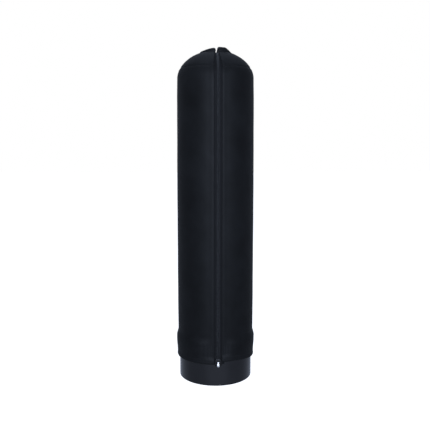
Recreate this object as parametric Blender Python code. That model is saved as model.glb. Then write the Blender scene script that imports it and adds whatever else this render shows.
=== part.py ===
"""A tubular microphone windshield: a plastic basket on a gloss base ring, wrapped in a foam liner and a
zipped stretch-fabric cover. Origin at the middle of the ring's lower face, +Z up, zip at -Y. Metres."""

import math

import bmesh
import bpy
from mathutils import Matrix, Vector

# Driving dimensions.
COVER_R = 0.0504            # outside of the fabric along the tube
FABRIC = 0.0011             # thickness of the laminated stretch fabric
GAP = 0.0003                # clearance between pieces that touch on the real object
COLUMNS = 48                # facets round the cover, foam and rings
CAGE_COLUMNS = 32           # facets round the basket, so ribs and windows alternate
FRONT_GAP = math.radians(7.5)   # half the angle that the zip takes out of the cover

RING_R = 0.0482             # base ring, outside
RING_TOP = 0.040
MOUTH_R = 0.0446            # base ring, bore
SPIGOT_R = 0.0432           # neck of the ring that goes up inside the basket
NECK_WALL = 0.0018
NECK_TOP = 0.0576
GROOVE_LOW = 0.0057         # groove in the bore that holds the gasket
GROOVE_HIGH = 0.0103
GROOVE_DEEP = 0.0018
COLLAR_TOP = 0.061
BULGE_TOP = 0.0625          # where the cover is back at the tube's radius
HEM_LOW = 0.029             # lower edge of the hem at the sides and back
HEM_TALL = 0.006
HEM_R = 0.0486              # inside of the hem, round the ring

BASKET_R = 0.0453
BASKET_WALL = 0.0015
BASKET_TOP = 0.391
HOOPS = {"hoop_lower": 0.1416, "hoop_middle": 0.2289, "hoop_upper": 0.3162}
HOOP_TALL = 0.005
HOOP_WALL = 0.0018
SHOULDER_LOW = 0.3845       # the shoulder ring's neck starts here, inside the basket
FLANGE_TALL = 0.0022
CAGE_TALL = 0.0310          # height of the dome cage
HUB_R = 0.0160
HUB_LOW = 0.4251
HUB_TOP = 0.4268
FOAM_R = 0.0490
FOAM_IN_R = 0.0460
FOAM_TOP = 0.394
CAP_R = 0.0478              # foam cap over the dome cage, outside
CAP_TALL = 0.0338
CAP_IN_R = 0.0463
CAP_IN_TALL = 0.0322
CHANNEL_R = 0.0476          # foam and collar are thinned to this behind the zip

TAPER_LOW = 0.368           # the cover starts to narrow here
SHOULDER = 0.396            # the crown's curve starts here
CROWN_R = 0.0496
CROWN_TALL = 0.0355
CROWN_POWER = 1.9           # between a cone and a circular arc
SEAM = 0.408                # sewn seam between the cover's body and its crown
CROWN_HOLE_R = 0.012
PATCH_R = 0.020

TAPE_HALF = 0.0061          # outer edge of a zip tape from the middle
COIL_HALF = 0.0022
SPLIT_HALF = 0.0006         # half the gap between the two coils
TAPE_IN = 0.0496            # the zip's layers, measured outwards from the tube's axis
TAPE_OUT = 0.0501
COIL_IN = 0.0504
COIL_OUT = 0.0519
ZIP_LOW = 0.027
ZIP_END = 0.0275            # the tapes stop this far from the axis on the crown
SLIDER_LOW = 0.0293
SLIDER_TALL = 0.0083
SLIDER_HALF = 0.0042
PLATE_IN = 0.0523
PLATE_OUT = 0.0533
UNDER_IN = 0.0486
UNDER_OUT = 0.0492
PULL_AXIS = 0.0547          # distance of the pull's crossbar from the tube's axis
PULL_HEIGHT = 0.0336

SCREW_HEIGHT = 0.0500
SCREW_R = 0.00125
SCREW_HEAD_R = 0.0024
SCREW_SEAT = 0.0474         # where the heads seat, from the axis


def clear_scene():
    for old in list(bpy.data.objects):
        bpy.data.objects.remove(old, do_unlink=True)


def material(name, colour, roughness, metallic=0.0):
    made = bpy.data.materials.new(name)
    made.use_nodes = True
    shader = made.node_tree.nodes["Principled BSDF"]
    shader.inputs["Base Color"].default_value = (*colour, 1.0)
    shader.inputs["Roughness"].default_value = roughness
    shader.inputs["Metallic"].default_value = metallic
    made.diffuse_color = (*colour, 1.0)
    return made


def add_object(name, mesh, finish, sharp=35):
    mesh.materials.append(finish)
    mesh.shade_smooth()
    mesh.set_sharp_from_angle(angle=math.radians(sharp))
    piece = bpy.data.objects.new(name, mesh)
    bpy.context.scene.collection.objects.link(piece)
    return piece


def close_mesh(name, builder):
    bmesh.ops.recalc_face_normals(builder, faces=builder.faces)
    mesh = bpy.data.meshes.new(name)
    builder.to_mesh(mesh)
    builder.free()
    return mesh


def loft(name, loops, finish, closed=False):
    """A closed body through loops of equally many points: joined end to end, or capped at both ends."""
    builder = bmesh.new()
    rows = [[builder.verts.new(point) for point in loop] for loop in loops]
    pairs = list(zip(rows, rows[1:] + rows[:1])) if closed else list(zip(rows, rows[1:]))
    for row, after in pairs:
        for i in range(len(row)):
            j = (i + 1) % len(row)
            builder.faces.new((row[i], row[j], after[j], after[i]))
    if not closed:
        builder.faces.new(rows[0])
        builder.faces.new(list(reversed(rows[-1])))
    return add_object(name, close_mesh(name, builder), finish)


def polar(radius, angle, height):
    """A point at an angle counted from the front (-Y) towards +X."""
    return Vector((radius * math.sin(angle), -radius * math.cos(angle), height))


def turned(name, section, finish, columns=COLUMNS):
    """A ring: section is a closed outline of (radius, height), turned about the tube's axis."""
    angles = [math.tau * i / columns for i in range(columns)]
    loops = [[polar(r, angle, z) for r, z in section] for angle in angles]
    return loft(name, loops, finish, closed=True)


def cage(name, levels, is_open, finish):
    """A lattice shell: levels are (outer r, outer z, inner r, inner z), and is_open(level, column) leaves out
    a cell."""
    builder = bmesh.new()
    columns = CAGE_COLUMNS
    outer, inner = [], []
    for out_r, out_z, in_r, in_z in levels:
        angles = [math.tau * i / columns for i in range(columns)]
        outer.append([builder.verts.new(polar(out_r, angle, out_z)) for angle in angles])
        inner.append([builder.verts.new(polar(in_r, angle, in_z)) for angle in angles])
    kept = {
        (level, column)
        for level in range(len(levels) - 1)
        for column in range(columns)
        if not is_open(level, column)
    }
    for level, column in kept:
        after = (column + 1) % columns
        corners = [(level, column), (level, after), (level + 1, after), (level + 1, column)]
        builder.faces.new([outer[i][j] for i, j in corners])
        builder.faces.new([inner[i][j] for i, j in reversed(corners)])
        neighbours = [
            (level - 1, column),
            (level, after),
            (level + 1, column),
            (level, (column - 1) % columns),
        ]
        for side, neighbour in enumerate(neighbours):
            if neighbour not in kept:
                (a, b), (c, d) = corners[side], corners[(side + 1) % 4]
                builder.faces.new((outer[a][b], inner[a][b], inner[c][d], outer[c][d]))
    loose = [vert for vert in builder.verts if not vert.link_faces]
    bmesh.ops.delete(builder, geom=loose, context="VERTS")
    return add_object(name, close_mesh(name, builder), finish, sharp=30)


def smooth_step(value):
    value = min(max(value, 0.0), 1.0)
    return value * value * (3 - 2 * value)


def side_share(angle):
    """0 at the zip, rising to 1 at 30 degrees from it: the bulge fades out so that the zip stays straight."""
    return smooth_step((abs(angle) - FRONT_GAP) / (math.radians(30) - FRONT_GAP))


def bulge(height):
    """How far the cover stands out over the collar."""
    if height >= BULGE_TOP:
        return 0.0
    if height >= 0.052:
        return 0.0019 * smooth_step((BULGE_TOP - height) / (BULGE_TOP - 0.052))
    return 0.0008 + 0.0011 * smooth_step((height - 0.030) / 0.022)


def hem_rise(angle):
    """The zip pulls the hem up at the front, a little more on its right."""
    peak = 0.0010 if angle < 0 else 0.0040
    return peak * smooth_step((math.radians(75) - abs(angle)) / math.radians(55))


def crown_point(height, inwards=0.0):
    """(radius, height) on the crown's outer curve at a height, or that point moved inwards."""
    share = min((height - SHOULDER) / CROWN_TALL, 1.0)
    radius = CROWN_R * (1 - share**CROWN_POWER) ** (1 / CROWN_POWER)
    shrink_r = (CROWN_R - inwards) / CROWN_R
    shrink_z = (CROWN_TALL - inwards) / CROWN_TALL
    return radius * shrink_r, SHOULDER + (height - SHOULDER) * shrink_z


def crown_height(radius, wide=CROWN_R, tall=CROWN_TALL):
    share = min(radius / wide, 1.0)
    return SHOULDER + tall * (1 - share**CROWN_POWER) ** (1 / CROWN_POWER)


def cover_angles():
    """Columns round the cover, from the zip's right side round the back to its left, as signed angles."""
    step = math.tau / COLUMNS
    angles = [FRONT_GAP + step * i for i in range(COLUMNS - 1)]
    return [angle if angle <= math.pi else angle - math.tau for angle in angles]


def screw_angles():
    return [math.radians(45 + 90 * i) for i in range(4)]


def radial_circle(radius, distance, angle, height, sides=12):
    """A circle of points facing outwards along a radius of the tube."""
    centre = polar(distance, angle, height)
    across = Vector((math.cos(angle), math.sin(angle), 0))
    turns = [math.tau * i / sides for i in range(sides)]
    return [centre + across * radius * math.cos(t) + Vector((0, 0, radius * math.sin(t))) for t in turns]


def screw_cutter(finish):
    """Four stepped holes, for the screws' shanks and heads."""
    builder = bmesh.new()
    hole = SCREW_R + GAP
    seat = SCREW_HEAD_R + GAP
    steps = [(hole, 0.038), (hole, SCREW_SEAT - GAP), (seat, SCREW_SEAT - GAP), (seat, 0.056)]
    for angle in screw_angles():
        rows = []
        for radius, distance in steps:
            circle = radial_circle(radius, distance, angle, SCREW_HEIGHT)
            rows.append([builder.verts.new(point) for point in circle])
        for row, after in zip(rows, rows[1:]):
            for i in range(len(row)):
                j = (i + 1) % len(row)
                builder.faces.new((row[i], row[j], after[j], after[i]))
        builder.faces.new(rows[0])
        builder.faces.new(list(reversed(rows[-1])))
    cutter = add_object("screw_holes", close_mesh("screw_holes", builder), finish)
    cutter.hide_render = True
    cutter.display_type = "WIRE"
    return cutter


def cut(piece, cutter):
    modifier = piece.modifiers.new("holes", "BOOLEAN")
    modifier.operation = "DIFFERENCE"
    modifier.object = cutter


def make_base_ring(finish, cutter):
    neck_in = SPIGOT_R - NECK_WALL
    groove = MOUTH_R + GROOVE_DEEP
    small, large = 0.0006, 0.0008
    section = [
        (RING_R - large, 0.0),
        (RING_R, large),
        (RING_R, RING_TOP - small),
        (RING_R - small, RING_TOP),
        (SPIGOT_R, RING_TOP),
        (SPIGOT_R, NECK_TOP - small),
        (SPIGOT_R - small, NECK_TOP),
        (neck_in, NECK_TOP),
        (neck_in, RING_TOP),
        (MOUTH_R, RING_TOP - 0.0050),
        (MOUTH_R, GROOVE_HIGH),
        (groove, GROOVE_HIGH),
        (groove, GROOVE_LOW),
        (MOUTH_R, GROOVE_LOW),
        (MOUTH_R, small),
        (MOUTH_R + small, 0.0),
    ]
    cut(turned("base_ring", section, finish), cutter)


def make_mouth_gasket(finish):
    outer = MOUTH_R + GROOVE_DEEP - GAP
    lip = MOUTH_R - 0.0012
    low, high = GROOVE_LOW + GAP, GROOVE_HIGH - GAP
    section = [(outer, low), (outer, high), (lip, high - 0.0010), (lip, low + 0.0010)]
    turned("mouth_gasket", section, finish)


def make_base_collar(finish, cutter):
    """The moulding that clamps the basket on the ring's neck. It makes the cover's bulge."""
    inner = BASKET_R + 0.0006
    heights = [RING_TOP + GAP, 0.047, 0.053, 0.0575, COLLAR_TOP]
    loops = []
    for i in range(COLUMNS):
        angle = math.tau * i / COLUMNS
        signed = angle if angle <= math.pi else angle - math.tau
        loop = [polar(inner, angle, COLLAR_TOP), polar(inner, angle, heights[0])]
        for height in heights:
            radius = COVER_R - FABRIC - 0.0006 + bulge(height) * side_share(signed)
            if abs(signed) < FRONT_GAP + 0.01:
                radius = CHANNEL_R
            loop.append(polar(radius, angle, height))
        loops.append(loop)
    cut(loft("base_collar", loops, finish, closed=True), cutter)


def make_collar_screws(finish):
    tip = SPIGOT_R - 0.0013
    steps = [
        (SCREW_R - 0.0004, tip),
        (SCREW_R, tip + 0.0006),
        (SCREW_R, SCREW_SEAT),
        (SCREW_HEAD_R, SCREW_SEAT),
        (SCREW_HEAD_R, SCREW_SEAT + 0.0010),
        (SCREW_HEAD_R - 0.0004, SCREW_SEAT + 0.0014),
        (0.0012, SCREW_SEAT + 0.0014),
        (0.0012, SCREW_SEAT + 0.0006),
    ]
    for number, angle in enumerate(screw_angles(), start=1):
        loops = [radial_circle(radius, at, angle, SCREW_HEIGHT) for radius, at in steps]
        loft(f"collar_screw_{number}", loops, finish)


def make_basket_tube(finish, cutter):
    windows = 8
    low, high = 0.0640, BASKET_TOP - 0.007
    pitch = (high - low) / windows
    band = 0.0060
    heights = [RING_TOP + 2 * GAP]
    for i in range(windows):
        heights += [low + pitch * i, low + pitch * (i + 1) - band]
    heights.append(BASKET_TOP)
    inner = BASKET_R - BASKET_WALL
    levels = [(BASKET_R, height, inner, height) for height in heights]
    lattice = cage("basket_tube", levels, lambda i, j: i % 2 == 1 and j % 2 == 0, finish)
    cut(lattice, cutter)


def make_hoops(finish):
    outer = BASKET_R - BASKET_WALL - GAP
    inner = outer - HOOP_WALL
    for name, height in HOOPS.items():
        low, high = height - HOOP_TALL / 2, height + HOOP_TALL / 2
        section = [(outer, low), (outer, high), (inner, high), (inner, low)]
        turned(name, section, finish, CAGE_COLUMNS)


def make_shoulder_ring(finish):
    neck = BASKET_R - BASKET_WALL - GAP
    inner = neck - HOOP_WALL
    flange = BASKET_TOP + GAP
    top = flange + FLANGE_TALL
    section = [(neck, SHOULDER_LOW), (neck, flange), (BASKET_R, flange), (BASKET_R, top)]
    section += [(inner, top), (inner, SHOULDER_LOW)]
    turned("shoulder_ring", section, finish, CAGE_COLUMNS)


def make_dome_cage(finish):
    low = BASKET_TOP + FLANGE_TALL + 2 * GAP
    levels = []
    for share in (0.0, 0.10, 0.40, 0.50, 0.80, 0.90):
        turn = share * math.pi / 2
        out_r = BASKET_R * math.cos(turn) ** (2 / CROWN_POWER)
        out_z = CAGE_TALL * math.sin(turn) ** (2 / CROWN_POWER)
        thinner = (BASKET_R - BASKET_WALL) / BASKET_R
        flatter = (CAGE_TALL - BASKET_WALL) / CAGE_TALL
        levels.append((out_r, low + out_z, out_r * thinner, low + out_z * flatter))
    cage("dome_cage", levels, lambda i, j: i in (1, 3) and j % 2 == 0, finish)


def make_nose_hub(finish):
    """The disc that closes the top of the dome cage, dished on its underside."""
    chamfer = 0.0006
    steps = [(0.0030, HUB_LOW + 0.0008), (0.0100, HUB_LOW), (HUB_R - 0.0010, HUB_LOW)]
    steps += [(HUB_R, HUB_LOW + chamfer), (HUB_R, HUB_TOP - chamfer), (HUB_R - 0.0010, HUB_TOP)]
    loops = [[polar(r, math.tau * i / 24, z) for i in range(24)] for r, z in steps]
    loft("nose_hub", loops, finish)


def make_foam_liner(finish):
    loops = []
    for i in range(COLUMNS):
        angle = math.tau * i / COLUMNS
        near_zip = i in (0, 1, COLUMNS - 1)
        outer = CHANNEL_R if near_zip else FOAM_R
        low, high = COLLAR_TOP + 0.0005, FOAM_TOP
        narrow = outer - (COVER_R - CROWN_R) if outer == FOAM_R else outer
        section = [(FOAM_IN_R, low), (outer, low), (outer, TAPER_LOW), (narrow, high), (FOAM_IN_R, high)]
        loops.append([polar(r, angle, z) for r, z in section])
    loft("foam_liner", loops, finish, closed=True)


def make_foam_cap(finish):
    """Foam over the dome cage, open round the nose hub."""
    low = FOAM_TOP + 0.0005
    turns = [math.radians(t) for t in (0, 20, 36, 52, 67)]
    power = 2 / CROWN_POWER
    over, under = (
        [(wide * math.cos(t) ** power, low + tall * math.sin(t) ** power) for t in turns]
        for wide, tall in ((CAP_R, CAP_TALL), (CAP_IN_R, CAP_IN_TALL))
    )
    turned("foam_cap", over + under[::-1], finish, CAGE_COLUMNS)


def make_cover_body(finish):
    """One wrap of fabric from the hem up to the crown seam, open at the front for the zip."""
    nominal = [HEM_LOW + HEM_TALL + GAP, 0.041, 0.047, 0.053, 0.0575]
    low = nominal[0]
    loops = []
    for angle in cover_angles():
        squeeze = (BULGE_TOP - low - hem_rise(angle)) / (BULGE_TOP - low)
        outer, inner = [], []
        for height in nominal:
            height = BULGE_TOP - (BULGE_TOP - height) * squeeze
            radius = COVER_R + bulge(height) * side_share(angle)
            outer.append((radius, height))
            inner.append((radius - FABRIC, height))
        for height in (BULGE_TOP, TAPER_LOW):
            outer.append((COVER_R, height))
            inner.append((COVER_R - FABRIC, height))
        for height in (SHOULDER, 0.403, SEAM):
            outer.append(crown_point(height))
            inner.append(crown_point(height, FABRIC))
        loops.append([polar(r, angle, z) for r, z in outer + inner[::-1]])
    loft("cover_body", loops, finish)


def make_crown(side, finish):
    """Half of the domed crown: an edge beside the zip, which closes in past its end, and a straight back."""
    closed_r = 0.021
    rims = [SEAM + GAP] + [crown_height(r) for r in (0.042, 0.036, ZIP_END - 0.001, closed_r, CROWN_HOLE_R)]
    outer = [crown_point(z) for z in rims]
    inner = [crown_point(z, FABRIC) for z in rims]
    cells = 12
    loops = []
    for i in range(cells + 1):
        loop = []
        for radius, height in outer + inner[::-1]:
            edge = COVER_R * math.sin(FRONT_GAP) if radius > closed_r + 0.001 else 2 * SPLIT_HALF
            first = math.asin(edge / radius)
            last = math.pi - math.asin(GAP / radius)
            loop.append(polar(radius, side * (first + (last - first) * i / cells), height))
        loops.append(loop)
    loft("crown_right" if side > 0 else "crown_left", loops, finish)


def make_crown_patch(side, finish):
    """Half-moon pad on top of the crown. The slit between the two pads opens upwards."""
    thick = 0.0037 if side > 0 else 0.0026
    stations = (0.0, 0.18, 0.45, 0.72, 0.90, 0.98)
    across = 8
    loops = []
    for station in stations:
        x = SPLIT_HALF + (PATCH_R - SPLIT_HALF) * station
        reach = math.sqrt(max(PATCH_R**2 - x * x, 0.0)) + 0.0004
        ys = [-reach * math.cos(math.pi * i / across) for i in range(across + 1)]
        under, top = [], []
        for y in ys:
            base = crown_height(math.hypot(x, y)) + GAP
            round_off = 1 - 0.55 * min(math.hypot(x, y) / PATCH_R, 1.0) ** 4
            lean = 0.0011 if station == 0.0 else 0.0
            under.append(Vector((side * x, y, base)))
            top.append(Vector((side * (x + lean), y, base + thick * round_off)))
        loops.append(under + top[::-1])
    loft("crown_patch_right" if side > 0 else "crown_patch_left", loops, finish)


def make_hem(finish, elastic_finish):
    """The turned-up hem: a folded channel, open at its top edge and its ends, with a flat elastic inside."""
    loops, bands = [], []
    for angle in cover_angles():
        low = HEM_LOW + hem_rise(angle)
        high = low + HEM_TALL
        outer = 0.0512 + 0.0004 * side_share(angle)
        inner = HEM_R + 0.0007
        wall = outer - 0.0008
        section = [(outer, high), (outer, low + 0.0030), (outer - 0.0009, low + 0.0010)]
        section += [(HEM_R + 0.0009, low), (HEM_R, low + 0.0008), (HEM_R, high)]
        section += [(inner, high), (inner, low + 0.0014), (wall, low + 0.0030), (wall, high)]
        loops.append([polar(r, angle, z) for r, z in section])
        if abs(angle) > FRONT_GAP + 0.1:
            band = [(0.0496, low + 0.0026), (0.0501, low + 0.0026), (0.0501, high - 0.0003)]
            band.append((0.0496, high - 0.0003))
            bands.append([polar(r, angle, z) for r, z in band])
    loft("hem_channel", loops, finish)
    loft("hem_elastic", bands, elastic_finish)


def zip_path(radius, end, low=ZIP_LOW):
    """(distance from the axis, height) along one layer of the zip: straight up, then over the crown."""
    tall = CROWN_TALL + radius - COVER_R
    points = [(radius, low), (radius, SHOULDER)]
    steps = 7
    last = math.acos((end / radius) ** (CROWN_POWER / 2))
    for i in range(1, steps + 1):
        turn = last * i / steps
        out = radius * math.cos(turn) ** (2 / CROWN_POWER)
        points.append((out, SHOULDER + tall * math.sin(turn) ** (2 / CROWN_POWER)))
    return points


def zip_strip(name, near, far, layers, end, low, finish):
    """A strip between two distances from the middle. layers are its (inner, outer) distances from the
    axis."""
    inner, outer = (zip_path(layer, end, low) for layer in layers)
    loops = []
    for (in_y, in_z), (out_y, out_z) in zip(inner, outer):
        loop = [(near, -in_y, in_z), (far, -in_y, in_z), (far, -out_y, out_z), (near, -out_y, out_z)]
        loops.append([Vector(point) for point in loop])
    loft(name, loops, finish)


def make_zip(tape_finish, coil_finish, metal):
    coil_low = ZIP_LOW + 0.0022
    coil_end = ZIP_END + 0.003
    stop_half = COIL_HALF + 0.0002
    stop_tall = 0.0016
    stop_low = ZIP_LOW + GAP
    for side, word in ((-1, "left"), (1, "right")):
        near = side * SPLIT_HALF
        tape = (TAPE_IN, TAPE_OUT)
        coil = (COIL_IN, COIL_OUT)
        zip_strip(f"zip_tape_{word}", near, side * TAPE_HALF, tape, ZIP_END, ZIP_LOW, tape_finish)
        zip_strip(f"zip_coil_{word}", near, side * COIL_HALF, coil, coil_end, coil_low, coil_finish)
        x0, x1 = sorted((near, side * stop_half))
        box(f"zip_hem_stop_{word}", (x0, -COIL_OUT, stop_low), (x1, -COIL_IN, stop_low + stop_tall), metal)
    low = crown_height(ZIP_END, COIL_IN, CROWN_TALL) + 0.0002
    far, close = coil_end - GAP, coil_end - 0.0023
    box("zip_crown_stop", (-stop_half, -far, low), (stop_half, -close, low + stop_tall), metal)


def box(name, low, high, finish):
    corners = [(0, 0), (1, 0), (1, 1), (0, 1)]
    pick = (low, high)
    loops = [[Vector((pick[a][0], pick[b][1], pick[c][2])) for a, b in corners] for c in (0, 1)]
    return loft(name, loops, finish)


def outline(points, low, high, name, finish):
    """A flat outline of (x, height) points, made solid between two distances from the axis."""
    loops = [[Vector((x, -distance, z)) for x, z in points] for distance in (low, high)]
    return loft(name, loops, finish)


def join_parts(name, parts, finish):
    """Unites overlapping solids into one closed body."""
    first = parts[0]
    for other in parts[1:]:
        modifier = first.modifiers.new("union", "BOOLEAN")
        modifier.operation = "UNION"
        modifier.object = other
    graph = bpy.context.evaluated_depsgraph_get()
    mesh = bpy.data.meshes.new_from_object(first.evaluated_get(graph))
    for old in parts:
        bpy.data.objects.remove(old, do_unlink=True)
    mesh.name = name
    mesh.materials.clear()
    return add_object(name, mesh, finish)


def make_slider(finish):
    """The slider, wide end down: two plates joined by the post that parts the coils, and two ears."""
    low, high = SLIDER_LOW, SLIDER_LOW + SLIDER_TALL
    half = SLIDER_HALF
    plate = [(-half + 0.0008, low), (half - 0.0008, low), (half, low + 0.0014), (half, low + 0.0034)]
    plate += [(half - 0.0005, high - 0.0006), (half - 0.0013, high), (0.0013 - half, high)]
    plate += [(0.0005 - half, high - 0.0006), (-half, low + 0.0034), (-half, low + 0.0014)]
    parts = [outline(plate, PLATE_IN, PLATE_OUT, "plate", finish)]
    parts.append(outline(plate, UNDER_IN, UNDER_OUT, "under", finish))
    parts.append(box("post", (-0.0003, -PLATE_IN - 0.0004, low + 0.0006),
                     (0.0003, -UNDER_OUT + 0.0004, low + 0.0026), finish))
    for side in (-1, 1):
        x0, x1 = sorted((side * (COIL_HALF + 0.0005), side * (COIL_HALF + 0.0012)))
        parts.append(box("flange", (x0, -PLATE_IN - 0.0004, low + 0.0012),
                         (x1, -COIL_IN - 0.0002, high - 0.0010), finish))
        x0, x1 = sorted((side * 0.0014, side * 0.0022))
        parts.append(box("ear", (x0, -PULL_AXIS - 0.0006, PULL_HEIGHT - 0.0010),
                         (x1, -PLATE_OUT + 0.0004, PULL_HEIGHT + 0.0010), finish))
    bar_r = 0.0004
    turns = [math.tau * i / 12 for i in range(12)]
    bar = [
        [Vector((x, -PULL_AXIS + bar_r * math.cos(t), PULL_HEIGHT + bar_r * math.sin(t))) for t in turns]
        for x in (-0.0018, 0.0018)
    ]
    parts.append(loft("bar", bar, finish))
    return join_parts("zip_slider", parts, finish)


def make_pull(finish):
    """A short pull on the slider's crossbar: an eye between the ears and a small rounded plate below it."""
    eye_r, hole_r, sides = 0.00110, 0.00070, 16
    turns = [math.tau * i / sides for i in range(sides)]
    loops = []
    for x in (-0.0011, 0.0011):
        loops.append([Vector((x, -PULL_AXIS + eye_r * math.cos(t), PULL_HEIGHT + eye_r * math.sin(t)))
                      for t in turns])
    eye = loft("eye", loops, finish)
    half, low = 0.0018, PULL_HEIGHT - 0.0070
    tab = [(-0.0010, PULL_HEIGHT - 0.0007), (-0.0010, PULL_HEIGHT - 0.0014), (-half, PULL_HEIGHT - 0.0022)]
    tab += [(-half, low + 0.0008), (-half + 0.0008, low), (half - 0.0008, low), (half, low + 0.0008)]
    tab += [(half, PULL_HEIGHT - 0.0022), (0.0010, PULL_HEIGHT - 0.0014), (0.0010, PULL_HEIGHT - 0.0007)]
    plate = outline(tab, PULL_AXIS - 0.0005, PULL_AXIS + 0.0005, "tab", finish)
    pull = join_parts("zip_pull", [eye, plate], finish)
    loops = []
    for x in (-0.003, 0.003):
        loops.append([Vector((x, -PULL_AXIS + hole_r * math.cos(t), PULL_HEIGHT + hole_r * math.sin(t)))
                      for t in turns])
    hole = loft("pull_eye_hole", loops, finish)
    hole.hide_render = True
    hole.display_type = "WIRE"
    cut(pull, hole)
    return pull


def put_origin(piece, point):
    """Moves an object's origin to a point on its joint's axis and leaves its shape where it is."""
    piece.data.transform(Matrix.Translation(-Vector(point)))
    piece.location = point


def build():
    clear_scene()
    gloss = material("gloss_black_plastic", (0.012, 0.012, 0.014), 0.16)
    moulded = material("moulded_black_plastic", (0.020, 0.020, 0.022), 0.55)
    rubber = material("black_rubber", (0.016, 0.016, 0.016), 0.75)
    foam = material("charcoal_foam", (0.030, 0.031, 0.034), 0.95)
    fabric = material("stretch_fabric", (0.018, 0.020, 0.026), 0.80)
    webbing = material("zip_tape_fabric", (0.012, 0.013, 0.017), 0.85)
    nylon = material("nylon_coil", (0.022, 0.024, 0.029), 0.42)
    lacquer = material("black_lacquered_metal", (0.010, 0.010, 0.012), 0.30, 0.4)
    nickel = material("bright_nickel", (0.80, 0.80, 0.80), 0.16, 1.0)
    steel = material("zinc_plated_steel", (0.45, 0.46, 0.48), 0.35, 1.0)

    cutter = screw_cutter(steel)
    make_base_ring(gloss, cutter)
    make_mouth_gasket(rubber)
    make_base_collar(moulded, cutter)
    make_collar_screws(steel)
    make_basket_tube(moulded, cutter)
    make_hoops(moulded)
    make_shoulder_ring(moulded)
    make_dome_cage(moulded)
    make_nose_hub(moulded)
    make_foam_liner(foam)
    make_foam_cap(foam)
    make_cover_body(fabric)
    for side in (-1, 1):
        make_crown(side, fabric)
        make_crown_patch(side, fabric)
    make_hem(fabric, webbing)
    make_zip(webbing, nylon, lacquer)
    slider = make_slider(lacquer)
    put_origin(slider, (0, -PLATE_OUT, SLIDER_LOW))
    pull = make_pull(nickel)
    put_origin(pull, (0, -PULL_AXIS, PULL_HEIGHT))


build()
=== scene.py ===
"""The looks of a tubular microphone windshield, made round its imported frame: a smooth stretch cover with a
zip down the front, two sewn pads on its crown, a gloss base ring, and the foam and basket inside. Metres, +Z
up, zip at -Y. Angles round the tube are counted from the zip towards +X."""

import math

import bmesh
import bpy
import numpy as np
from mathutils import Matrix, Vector


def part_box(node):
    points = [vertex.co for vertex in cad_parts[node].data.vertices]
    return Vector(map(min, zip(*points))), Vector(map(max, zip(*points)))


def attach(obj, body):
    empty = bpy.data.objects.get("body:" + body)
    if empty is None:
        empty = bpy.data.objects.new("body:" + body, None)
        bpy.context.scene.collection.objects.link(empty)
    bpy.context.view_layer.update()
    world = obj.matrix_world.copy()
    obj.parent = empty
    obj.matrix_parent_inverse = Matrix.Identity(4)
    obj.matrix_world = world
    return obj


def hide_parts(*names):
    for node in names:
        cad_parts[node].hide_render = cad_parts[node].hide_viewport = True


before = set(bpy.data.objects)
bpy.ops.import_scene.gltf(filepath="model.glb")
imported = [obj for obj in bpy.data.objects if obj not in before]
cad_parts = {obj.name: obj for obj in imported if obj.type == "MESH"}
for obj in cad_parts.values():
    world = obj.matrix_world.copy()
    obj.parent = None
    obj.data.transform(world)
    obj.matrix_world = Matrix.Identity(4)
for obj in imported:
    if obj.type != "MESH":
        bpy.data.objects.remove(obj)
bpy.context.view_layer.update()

TUBE_BODY, SLIDER_BODY, PULL_BODY = "windshield", "slider", "pull"

# Sizes that several pieces share.
FABRIC = 0.0011             # thickness of the laminated stretch fabric
COVER_R = 0.05045           # outside of the cover along the middle of the tube
BASE_R = 0.0502             # the cover just above the bulge
SHOULDER = 0.396            # the crown's curve starts here
SHOULDER_R = 0.0496
CROWN_TALL = 0.0355
CROWN_POWER = 1.9
BULGE_TOP = 0.066
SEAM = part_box("cover_body")[1].z            # sewn seam between the cover's body and its crown
HEM_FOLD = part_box("hem_channel")[0].z + 0.0010
FLAP_MID = 0.0491           # middle of the hem's inner flap, just clear of the ring
FLAP_TALL = 0.0055
EDGE_X = 0.00515            # the cover's edges stop this far from the zip's middle
LIP = 0.00047               # how far those edges stand up to cross the zip's tape
LIP_END = 0.0118            # the cover is back at the tube this far from the middle
FLAT_X = 0.0033             # the tape is flat this far from the middle, under the coil
TAPE = 0.0005
TAPE_MID = 0.04985
COIL_OFFSET = 0.00115       # middle of the coil above the middle of the tape
COIL_RISE = 0.00062
WIRE_R = 0.00028
COIL_PITCH = 0.00125
COIL_NEAR, COIL_FAR = -0.0001, 0.0022
ZIP_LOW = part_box("zip_tape_left")[0].z
COIL_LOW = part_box("zip_coil_left")[0].z
TAPE_END = -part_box("zip_tape_left")[1].y    # distances from the axis where the zip stops on the crown
COIL_END = -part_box("zip_coil_left")[1].y
RING_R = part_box("base_ring")[1].x
CROWN_HOLE_R = 0.0118       # the crown is open inside this radius, under the pads
CLOSED_EDGE = 0.0012        # half of the slit between the crown's edges past the end of the zip
NARROW_EDGE = 0.0032        # the same beside the end of the zip
SEAM_GAP = 0.00003          # between a seam's line and each fabric that it joins
SEAM_GROOVE = 0.00035       # how far the fabric is drawn in along the crown's lower seam
PAD_STITCH = 0.0036         # the pads' stitches are this far inside their edge
SIDE_WORD = {-1: "left", 1: "right"}
PLATE_IN, PLATE_OUT = 0.0523, 0.0533        # the slider's upper plate, as distances from the tube's axis
PULL_AXIS, PULL_Z = 0.0547, 0.0336          # the slider's bar, which the pull turns on


# ------------------------ shapes as grids of points

def smooth_step(value):
    value = np.clip(value, 0.0, 1.0)
    return value * value * (3 - 2 * value)


def polar(radius, angle, height):
    radius, angle, height = np.broadcast_arrays(radius, angle, height)
    return np.stack([radius * np.sin(angle), -radius * np.cos(angle), height], axis=-1)


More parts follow.
